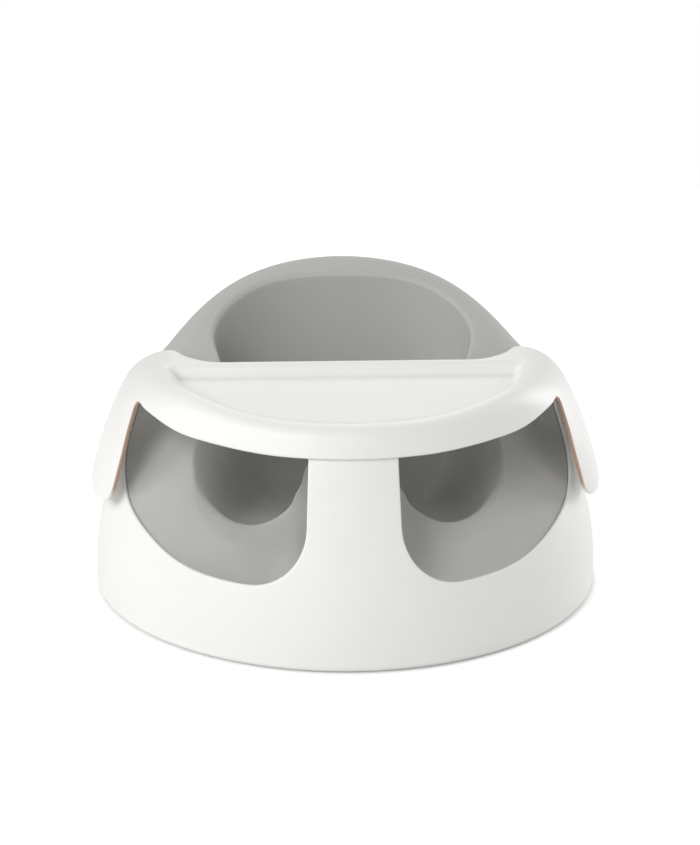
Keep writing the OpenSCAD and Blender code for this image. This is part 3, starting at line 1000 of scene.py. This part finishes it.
    def surfaces(self, start: Array, crest: Array, fold: Array, outer: Array,
                 fall: Array) -> tuple[Array, Array]:
        """Fine paths before their corner is rounded. The seat rises from its floor by a
        power of the distance, and the rim follows the tilted plane as far as its fold and
        rolls over by a power of the distance.

        Args:
            start: where the side starts to rise, shape (n, 2).
            crest: upper corner of the bowl, shape (n, 2).
            fold: where the rim starts to roll over, shape (n, 2).
            outer: outer edge, shape (n, 3).
            fall: power of the roll, shape (n, 1).

        Returns:
            Paths from the middle up to the crest, and from the crest out to the edge.
        """
        middle = np.array(self.middle)
        rise = self.rim_plane(crest[:, 1])[:, None, None] - self.seat_h
        power, gain, full = self.rising
        power = power + gain * (1 - np.minimum(1, rise / full))
        t = np.linspace(0, 1, 60)[None, :, None]
        floor = raised(blend(middle, start[:, None], t), self.seat_h - 1 + ease(0, 1, t))
        t = np.linspace(0, 1, 240)[None, 1:, None]
        side = raised(blend(start[:, None], crest[:, None], t), self.seat_h + rise * t**power)
        t = np.linspace(0, 1, 160)[None, :, None]
        band = blend(crest[:, None], fold[:, None], t[:, :-1:8])
        roll = blend(fold[:, None], outer[:, None, :2], t)
        fallen = blend(self.rim_plane(roll[..., 1:]), outer[:, None, 2:], t ** fall[:, :, None])
        return (np.concatenate([floor, side], 1),
                np.concatenate([raised(band, self.rim_plane(band[..., 1:])),
                                raised(roll, fallen)], 1))

    def grid(self) -> tuple[Array, Array]:
        """All the rings, from the middle of the seat out over the rim and down to the
        underside, with the crest and the outer edge rounded by cubics.

        Returns:
            Points, shape (rings, columns, 3), and the marks of the painted shade inside the bowl.
        """
        fold, bearing, share, reach = self.round_trip()
        passing, edge, laps, outer_r, outer_z = self.outer_line(bearing, share, reach)
        outer = polar(outer_r, bearing, outer_z)
        ahead = np.abs(np.degrees(bearing) - 360 * (bearing > np.pi))
        table = np.array(self.roundings)
        shift, out_l, in_l, fall = monotone(table[:, 0], table[:, 1:], ahead).T[..., None]
        start = fold * self.start + self.middle
        crest = fold + shift * unit(start - fold)
        rising, rolled = self.surfaces(start, crest, fold, outer, fall)
        up, down = travelled(rising)[:, -1:], travelled(rolled)[:, -1:]
        edge_l, turn_l = (np.where(laps, *pair)[:, None] for pair in (self.edge_l, self.turn_l))

        bowl = walk(rising, (up - in_l) * np.linspace(0.02, 1, 52)[None] ** 0.9)
        flank = walk(rolled, out_l + (down - out_l - edge_l) * np.linspace(0, 1, 40)[None])
        before = bowl[:, -1] - walk(rising, up - in_l - 1.0)[:, 0]
        after = walk(rolled, out_l + 1.0)[:, 0] - flank[:, 0]
        round_in = bridge(bowl[:, -1], before * 2 * in_l, flank[:, 0], after * 2 * out_l, 13)
        under_lap = polar(outer_r - 1.6, bearing, outer_z)
        side = polar(outer_r - self.draught, bearing, outer_z - self.side_h)
        down_by = unit(np.where(laps[:, None], under_lap, side) - outer)
        foot = outer + down_by * turn_l
        heel = flank[:, -1]
        ahead_by = unit(heel - walk(rolled, down - edge_l - 0.5)[:, 0])
        round_out = bridge(heel, ahead_by * 1.4 * edge_l, foot, down_by * 1.4 * edge_l, 5)

        low_z = np.where(laps, edge + self.lap_h, outer_z - self.side_h)
        plug = np.minimum(passing, self.plug_r)
        under = [polar(r, bearing, z) for r, z in (
            (np.where(laps, passing, passing - self.draught), low_z),
            (blend(passing - self.draught, plug, 0.5), blend(low_z, self.plug_h, 0.5)),
            (plug, self.plug_h), (plug - 3, (self.plug_h + self.bottom_h) / 2),
            (plug - 6, self.bottom_h + 1), (plug - 8, self.bottom_h), (plug / 2, self.bottom_h))]
        rings = np.concatenate(
            [bowl, round_in, flank, round_out, foot[:, None], np.stack(under, 1)], 1)
        # Painted shade marks: the bowl's rings, fading out towards the front
        marks = np.arange(rings.shape[1])[:, None] < bowl.shape[1] + 4
        return rings.transpose(1, 0, 2), marks * ease(-45, 0, rings[..., 1].T)

    def build(self) -> bpy.types.Object:
        """Makes the insert, which replaces the plain one of the frame.

        Returns:
            The piece.
        """
        parts = MeshParts()
        points, marks = self.grid()
        parts.add(points, mark=marks)
        piece = parts.object("foam_seat_insert")
        dress(FoamSkin(), piece)
        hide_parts("seat_insert")
        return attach(piece, "insert")


# ---- Play tray --------------------------------------------------------------------------


@dataclass
class PlayTray:
    """A sheet that is drawn flat round the middle of the base and bent down over its
    crest in one arc, then on in a flatter one, with tongues and ribs inside its arms."""

    body: Body
    tongue: Tongue
    wall: float = 3.0
    play_h: float = 180.0
    rear_h: float = 190.0
    rear_y: float = -21.0
    # How far in front of the rear edge its rim starts to rise, and has risen
    rear_rim: tuple[float, float] = (14.0, 3.0)
    # Width of the play surface's soft wall, and how far that runs past the crest at the
    # rear corners
    lip_w: float = 11.5
    corner: float = 9.0
    arm: float = 134.0
    rows: int = 130
    shares: int = 120
    # Painted warm shade in a strip inside the front edge of each arm, and the strip's width
    painted_shade_strip: Colour = (0.47, 0.32, 0.23)
    shade_strip_w: float = 6.0
    # Ribs inside each arm: their places along it, thickness, and depth under its face
    ribs: tuple[float, float] = (-12.0, 8.0)
    rib_t: float = 3.0
    rib_sink: float = 1.5
    # Height at which the crest in front follows the shell
    follow_h: float = 160.0
    # Front value, then the arms' value, of the crest's distance inside the shell, of the
    # arc over it, of the flatter arc after that and of the crest's height
    crest_in: tuple[float, float] = (13.6, 27.4)
    roll_r: tuple[float, float] = (14.0, 48.0)
    roll_angle: tuple[float, float] = (70.0, 62.5)
    drop_r: tuple[float, float] = (400.0, 290.0)
    crest_h: tuple[float, float] = (182.0, 189.5)
    # Bearings between which the front's shape turns into the arms', the crest rises, the
    # rear corners widen and the painted warm shade strip begins
    to_arm: tuple[float, float] = (44.0, 78.0)
    to_crest: tuple[float, float] = (15.0, 62.0)
    to_corner: tuple[float, float] = (48.0, 66.0)
    to_shade_strip: tuple[float, float] = (64.5, 66.5)
    # Along the plate: rear point x, how far it lies behind the rear edge, bearing in front
    # and length of the skirt there, past the crest
    plate: tuple[tuple[float, ...], ...] = (
        (0, 0, 0, 31), (13, 0, 5.5, 31), (26, 0, 11, 31), (42, 0, 18, 31.1), (58, 0, 25, 31.5),
        (74, 0, 32.5, 32.2), (89, 0, 40, 33.4), (101, 0, 48, 35.3), (112, 3, 55, 37.2),
        (123, 11, 61.5, 39), (133, 23, 66, 40.4))
    # Along an arm: bearing and share of its length past the crest, behind, then in front
    arms: tuple[tuple[float, ...], ...] = (
        (96, .015, 69.4, .318), (96.8, .13, 69, .4), (97, .27, 68, .52), (97, .42, 67.3, .62),
        (97, .57, 67.2, .72), (96.8, .7, 67.3, .81), (96, .82, 68, .885), (94.3, .9, 69.8, .94),
        (91, .96, 73, .975), (87, .99, 77.5, .993))

    def crest(self) -> tuple[float, float]:
        """Radius of the crest in front and on the arms."""
        radii = self.body.radius([self.follow_h, self.body.side_rim_h]) - self.crest_in
        return float(radii[0]), float(radii[1])

    def bend(self, flat: Array, depth: Array) -> Array:
        """Bends flat points of the sheet into place.

        The distance past the crest is walked along an arc of the roll's radius up to the
        roll's angle, then along the flatter arc, and depth is measured square to the face.

        Args:
            flat: flat points, shape (..., 2).
            depth: how far under the face each point lies, shape (...).

        Returns:
            Points in space, shape (..., 3).
        """
        g, a = np.linalg.norm(flat, axis=-1), np.arctan2(flat[..., 0], -flat[..., 1])
        side = np.degrees(np.abs(a))
        w = ease(*self.to_arm, side)
        cr, rr, dr, ra = (blend(*pair, w) for pair in (
            self.crest(), self.roll_r, self.drop_r, np.radians(self.roll_angle)))
        top = blend(*self.crest_h, ease(*self.to_crest, side))
        q = g - cr
        rolled = np.clip(q, 0, rr * ra) / rr
        dropped = np.maximum(q - rr * ra, 0) / dr
        turn = rolled + dropped
        past = rr * np.sin(rolled) + dr * (np.sin(ra + dropped) - np.sin(ra))
        fallen = rr * (1 - np.cos(rolled)) + dr * (np.cos(ra) - np.cos(ra + dropped))
        r = np.where(q > 0, cr + past, g) - depth * np.sin(turn)
        z = top - fallen + self.sunk(flat, q, top, side) - depth * np.cos(turn)
        return xyz(r * np.sin(a), -r * np.cos(a), z)

    def sunk(self, flat: Array, past: Array, top: Array, side: Array) -> Array:
        """Height that the play surface has over the crest, which is below 0: its depth
        less the rear rim, inside a soft wall.

        Args:
            flat: flat points, shape (..., 2).
            past: their distance past the crest, shape (...).
            top: height of the crest, shape (...).
            side: their bearing to either side, in degrees, shape (...).

        Returns:
            The height, shape (...).
        """
        wall = ease(-self.lip_w, 0, past - self.corner * ease(*self.to_corner, side))
        start, end = self.rear_rim
        rim = ease(self.rear_y - start, self.rear_y - end, flat[..., 1])
        return (1 - wall) * ((self.rear_h - self.play_h) * rim - (top - self.play_h))

    def on_arm(self, bearing: Array, past: Array) -> Array:
        """Flat points at a bearing in degrees and a distance past the crest."""
        a, g = np.radians(bearing), blend(*self.crest(), ease(*self.to_arm, bearing)) + past
        return np.stack([g * np.sin(a), -g * np.cos(a)], -1)

    def outline(self) -> tuple[Array, Array]:
        """The two ends of every row across the sheet, from the tip of one arm to that of
        the other, on a smooth curve through the stations and their mirror image.

        Returns:
            Rear and front ends, flat, shape (rows, 2) each.
        """
        p, s = np.array(self.plate), np.array(self.arms) * [1, self.arm, 1, self.arm]
        rear = np.vstack([np.c_[p[:, 0], self.rear_y + p[:, 1]], self.on_arm(s[:, 0], s[:, 1])])
        front = np.vstack([self.on_arm(p[:, 2], p[:, 3]), self.on_arm(s[:, 2], s[:, 3])])
        both = np.hstack([rear, front])
        whole = np.vstack([both[:0:-1] * [-1, 1, -1, 1], both])
        knots = (travelled(whole[:, :2]) + travelled(whole[:, 2:])) / 2
        end, close = knots[-1], np.array([0, 0.12, 0.4, 0.8, 1.25])
        at = np.r_[close, np.linspace(1.6, end - 1.6, 2 * self.rows), end - close[::-1]]
        found = spline(knots, whole, at)
        return found[:, :2], found[:, 2:]

    def shade_strip_marks(self, front: Array, inside: Array) -> tuple[Array, Array]:
        """Marks of the painted warm shade along the front edge of the arms: all its width
        on the underside, and only the edge itself on the face.

        Args:
            front: front ends of the rows, flat, shape (rows, 2).
            inside: distance of each point inside the front edge, shape (rows, columns).

        Returns:
            The face's marks and the underside's, from 0 to 1.
        """
        side = np.degrees(np.abs(np.arctan2(front[:, 0], -front[:, 1])))
        past = np.linalg.norm(front, axis=1) - self.crest()[1]
        there = ease(*self.to_shade_strip, side) * ease(self.arm * 0.95, self.arm * 0.85, past)
        there, w = there[:, None], self.shade_strip_w
        return there * ease(1.6, 0.9, inside), there * ease(w + 1, w - 1, inside)

    def sheet(self) -> tuple[Array, Array]:
        """The sheet as a closed grid: face and underside meet in a half-round all round
        the outline, where each stands off the middle by a quarter circle's height.

        Returns:
            Points, shape (rows, ring, 3), each ring going out over the face and back, and
            the marks of the painted warm shade strip, shape (rows, ring).
        """
        rear, front = self.outline()
        length, half = np.linalg.norm(front - rear, axis=1)[:, None], self.wall / 2
        near = np.broadcast_to([0, 0.1, 0.35, 0.75, 1.15], (len(rear), 5))
        mid = half + np.linspace(0, 1, self.shares) * (length - self.wall)
        across = np.hstack([near, mid, (length - near)[:, ::-1]])
        flat = blend(rear[:, None], front[:, None], (across / length)[..., None])
        run = travelled(flat[:, flat.shape[1] // 2])[:, None]

        def height(distance: Array) -> Array:
            """Height of a quarter circle of the half thickness at a distance inside it."""
            return np.sqrt(np.clip(1 - (1 - np.clip(distance / half, 0, 1)) ** 2, 0, 1))

        stand = half * height(np.minimum(across, length - across))
        stand = stand * height(np.minimum(run, run[-1] - run))
        face, under = self.bend(flat, half - stand), self.bend(flat, half + stand)
        outer, inner = self.shade_strip_marks(front, length - across)
        return (np.concatenate([face, under[:, -2:0:-1]], 1),
                np.concatenate([outer, inner[:, -2:0:-1]], 1))

    def arm_z(self, r: Array) -> Array:
        """Height of an arm's outer face, on its roll or past it.

        Args:
            r: radii, past the crest.

        Returns:
            The height at each.
        """
        rr, dr, top = self.roll_r[1], self.drop_r[1], self.crest_h[1]
        ra = np.radians(self.roll_angle[1])
        out, rolled = r - self.crest()[1], rr * np.sin(ra)
        turn = np.arcsin(np.clip(np.sin(ra) + (out - rolled) / dr, -1, 1))
        on_roll = top - rr + np.sqrt(np.maximum(rr * rr - out * out, 0))
        past = top - rr * (1 - np.cos(ra)) - dr * (np.cos(ra) - np.cos(turn))
        return np.where(out < rolled, on_roll, past)

    def slab(self, x: tuple, y: tuple, low: float, sink: float, r: float) -> Array:
        """A small plate under the arm: level rounded rectangles from its rounded foot up
        to a top that follows the arm.

        Args:
            x: its two sides across.
            y: its two sides along.
            low: height of its foot.
            sink: depth of its top under the arm's outer face.
            r: radius of its corners.

        Returns:
            Points, shape (rows, columns, 3).
        """
        a = around(48, 0.5)
        rows = []
        for grow, v in ((-0.5, 0.0), (-0.15, 0.015), (0.0, 0.05), (0.0, 0.5), (0.0, 1.0)):
            px, py = rounded((x[0] - grow, x[1] + grow), (y[0] - grow, y[1] + grow), r, a)
            rows.append(xyz(px, py, blend(low, self.arm_z(np.hypot(px, py)) - sink, v)))
        return np.stack(rows)

    def build(self) -> bpy.types.Object:
        """Makes the tray, which replaces the plain one of the frame.

        Returns:
            The piece.
        """
        b, parts, half = self.body, MeshParts(), self.rib_t / 2
        low = self.tongue.floor_z + self.tongue.play
        parts.add(self.slab(*self.tongue.sides(b, 0.0), low, sink=1.0, r=1.2))
        for y in self.ribs:
            x = np.sqrt(b.inside(b.side_rim_h) ** 2 - y * y)
            parts.add(self.slab((x - 3, x + b.wall + 4), (y - half, y + half),
                                b.side_rim_h + 0.3, self.rib_sink, r=0.6))
        parts.mirror()
        points, marks = self.sheet()
        parts.add(points, caps=False, mark=marks)
        piece = parts.object("play_tray")
        # The marked strip is coloured as painted warm shade inside the arms' front edges
        dress(MouldedPlastic("white_tray_plastic", "tray_plastic", colour=(0.905, 0.9, 0.88),
                             dulled=(0.87, 0.865, 0.84), painted_shade_strip=self.painted_shade_strip), piece)
        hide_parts("tray")
        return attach(piece, "tray")


# ---- Small parts, floor, light and camera ----------------------------------------------


@dataclass
class Underside:
    """The floor pan, its screws and the rubber feet, which keep the frame's own shapes."""

    feet: int = 6

    def dress_all(self) -> list[bpy.types.Object]:
        """Gives each its finish.

        Returns:
            The pieces.
        """
        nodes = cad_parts
        pan, screws = nodes["floor_pan"], nodes["pan_screws"]
        feet = [nodes[f"foot_{k + 1}"] for k in range(self.feet)]
        dress(MouldedPlastic("off_white_pan_plastic", "pan_plastic", colour=(0.74, 0.735, 0.71),
                             dulled=(0.66, 0.65, 0.62), gloss=Gloss.MATTE, peel_mm=1.6,
                             peel_depth_mm=0.02), pan)
        dress(PlatedSteel(), screws)
        dress(Rubber(), *feet)
        return [pan, screws, *feet]


@dataclass
class Studio:
    """Pale floor, soft lights and the camera of the photograph."""

    eye_mm: Place = (-64.31, -1753.64, 728.42)
    look: Place = (0.03676, 0.94576, -0.32276)
    lens: float = 96.11
    floor_half: float = 1.4
    floor_tones: tuple[Colour, Colour] = ((0.80, 0.80, 0.80), (0.81, 0.81, 0.81))
    # Radii in metres between which the floor's glow grows beside the seat's foot, so that a
    # ring of painted contact shadow lies inside; its strength inside, what it gains outside,
    # and its strength in reflections
    painted_shadow_ring: tuple[float, float] = (0.204, 0.2105)
    glow: tuple[float, float, float] = (0.15, 0.27, 0.3)
    # The world's colour and strength: as it lights the seat, and as the camera sees it
    world_light: tuple[Colour, float] = ((1.0, 0.99, 0.975), 0.32)
    world_seen: tuple[Colour, float] = ((1.0, 1.0, 1.0), 1.0)
    # Name, place in metres and watts of each lamp, the length of a lamp's side, and the
    # point that all face
    lamps: tuple[tuple[str, Place, float], ...] = (
        ("key", (-1.6, -2.2, 1.9), 45.0), ("left", (-2.7, -0.7, 1.3), 25.0),
        ("low right", (2.3, -1.9, 0.6), 11.0), ("back right", (2.5, 1.5, 0.9), 43.0),
        ("behind", (0.2, 2.2, 2.0), 18.0))
    lamp_size: float = 1.6
    aim: Place = (0.0, 0.0, 0.1)

    def camera(self) -> None:
        """Makes the camera and sets it as the scene's."""
        data = bpy.data.cameras.new("view")
        data.lens, data.sensor_width, data.clip_end = self.lens, 36.0, 40.0
        cam = placed("view", data)
        cam.location = Vector(self.eye_mm) * MM
        cam.rotation_euler = Vector(self.look).to_track_quat("-Z", "Y").to_euler()
        bpy.context.scene.camera = cam

    def light(self) -> None:
        """Square soft lamps that face the seat."""
        for name, place, watts in self.lamps:
            data = bpy.data.lights.new(name, "AREA")
            data.shape, data.size, data.energy = "SQUARE", self.lamp_size, watts
            lamp = placed(name, data)
            lamp.location = place
            towards = Vector(self.aim) - Vector(place)
            lamp.rotation_euler = towards.to_track_quat("-Z", "Y").to_euler()

    def floor(self) -> None:
        """A large pale floor that the camera sees as white but for the seat's shadow,
        which a ring of weaker glow round the seat's foot darkens as painted shadow.
        """
        h = self.floor_half
        mesh = bpy.data.meshes.new("floor")
        mesh.from_pydata([(-h, -h, 0), (h, -h, 0), (h, h, 0), (-h, h, 0)], [], [(0, 1, 2, 3)])
        made = placed("floor", mesh)
        p = Paint("pale_floor")
        seen, mirrored = (p.node("ShaderNodeLightPath", {}, {}, ray)
                          for ray in ("Is Camera Ray", "Is Glossy Ray"))
        away = p.node("ShaderNodeVectorMath", {"operation": "LENGTH"}, {0: p.place}, "Value")
        inside, gain, glossy = self.glow
        # Painted contact shadow: inside the ring the glow is weaker, so the floor is darker there
        glow = seen * (away.step(*self.painted_shadow_ring) * gain + inside) + mirrored * glossy
        made.data.materials.append(p.set(
            Base_Color=p.mix(p.noise(300.0), *self.floor_tones), Roughness=0.9,
            Specular_IOR_Level=0.0, Emission_Color=(1.0, 1.0, 1.0), Emission_Strength=glow))

    def world(self) -> None:
        """Even light from all round, which the camera sees as white."""
        world = bpy.data.worlds.new("studio")
        bpy.context.scene.world = world
        world.use_nodes = True
        tree = world.node_tree
        tree.nodes.clear()
        out, mix, path = (tree.nodes.new(kind) for kind in (
            "ShaderNodeOutputWorld", "ShaderNodeMixShader", "ShaderNodeLightPath"))
        tree.links.new(path.outputs["Is Camera Ray"], mix.inputs[0])
        tree.links.new(mix.outputs[0], out.inputs["Surface"])
        for k, (colour, strength) in enumerate((self.world_light, self.world_seen), 1):
            glow = tree.nodes.new("ShaderNodeBackground")
            glow.inputs["Color"].default_value = (*colour, 1.0)
            glow.inputs["Strength"].default_value = strength
            tree.links.new(glow.outputs[0], mix.inputs[k])

    def build(self) -> None:
        """Sets up everything that isn't the seat."""
        self.camera()
        self.floor()
        self.world()
        self.light()
        bpy.context.scene.view_settings.view_transform = "Standard"


def main() -> None:
    """Builds the sub-assemblies in order, then the studio, and reports each piece."""
    logging.basicConfig(level=logging.INFO, format="%(name)s: %(message)s")
    body, tongue = Body(), Tongue()
    shell = BaseShell(body, tongue)
    made = [shell.build(), FoamInsert(shell).build(), PlayTray(body, tongue).build(),
            *Underside().dress_all()]
    for piece in made:
        LOG.info("%s: %d faces, material %s", piece.name, len(piece.data.polygons),
                 piece.data.materials[0].name)
    Studio().build()


if __name__ == "__main__":
    main()
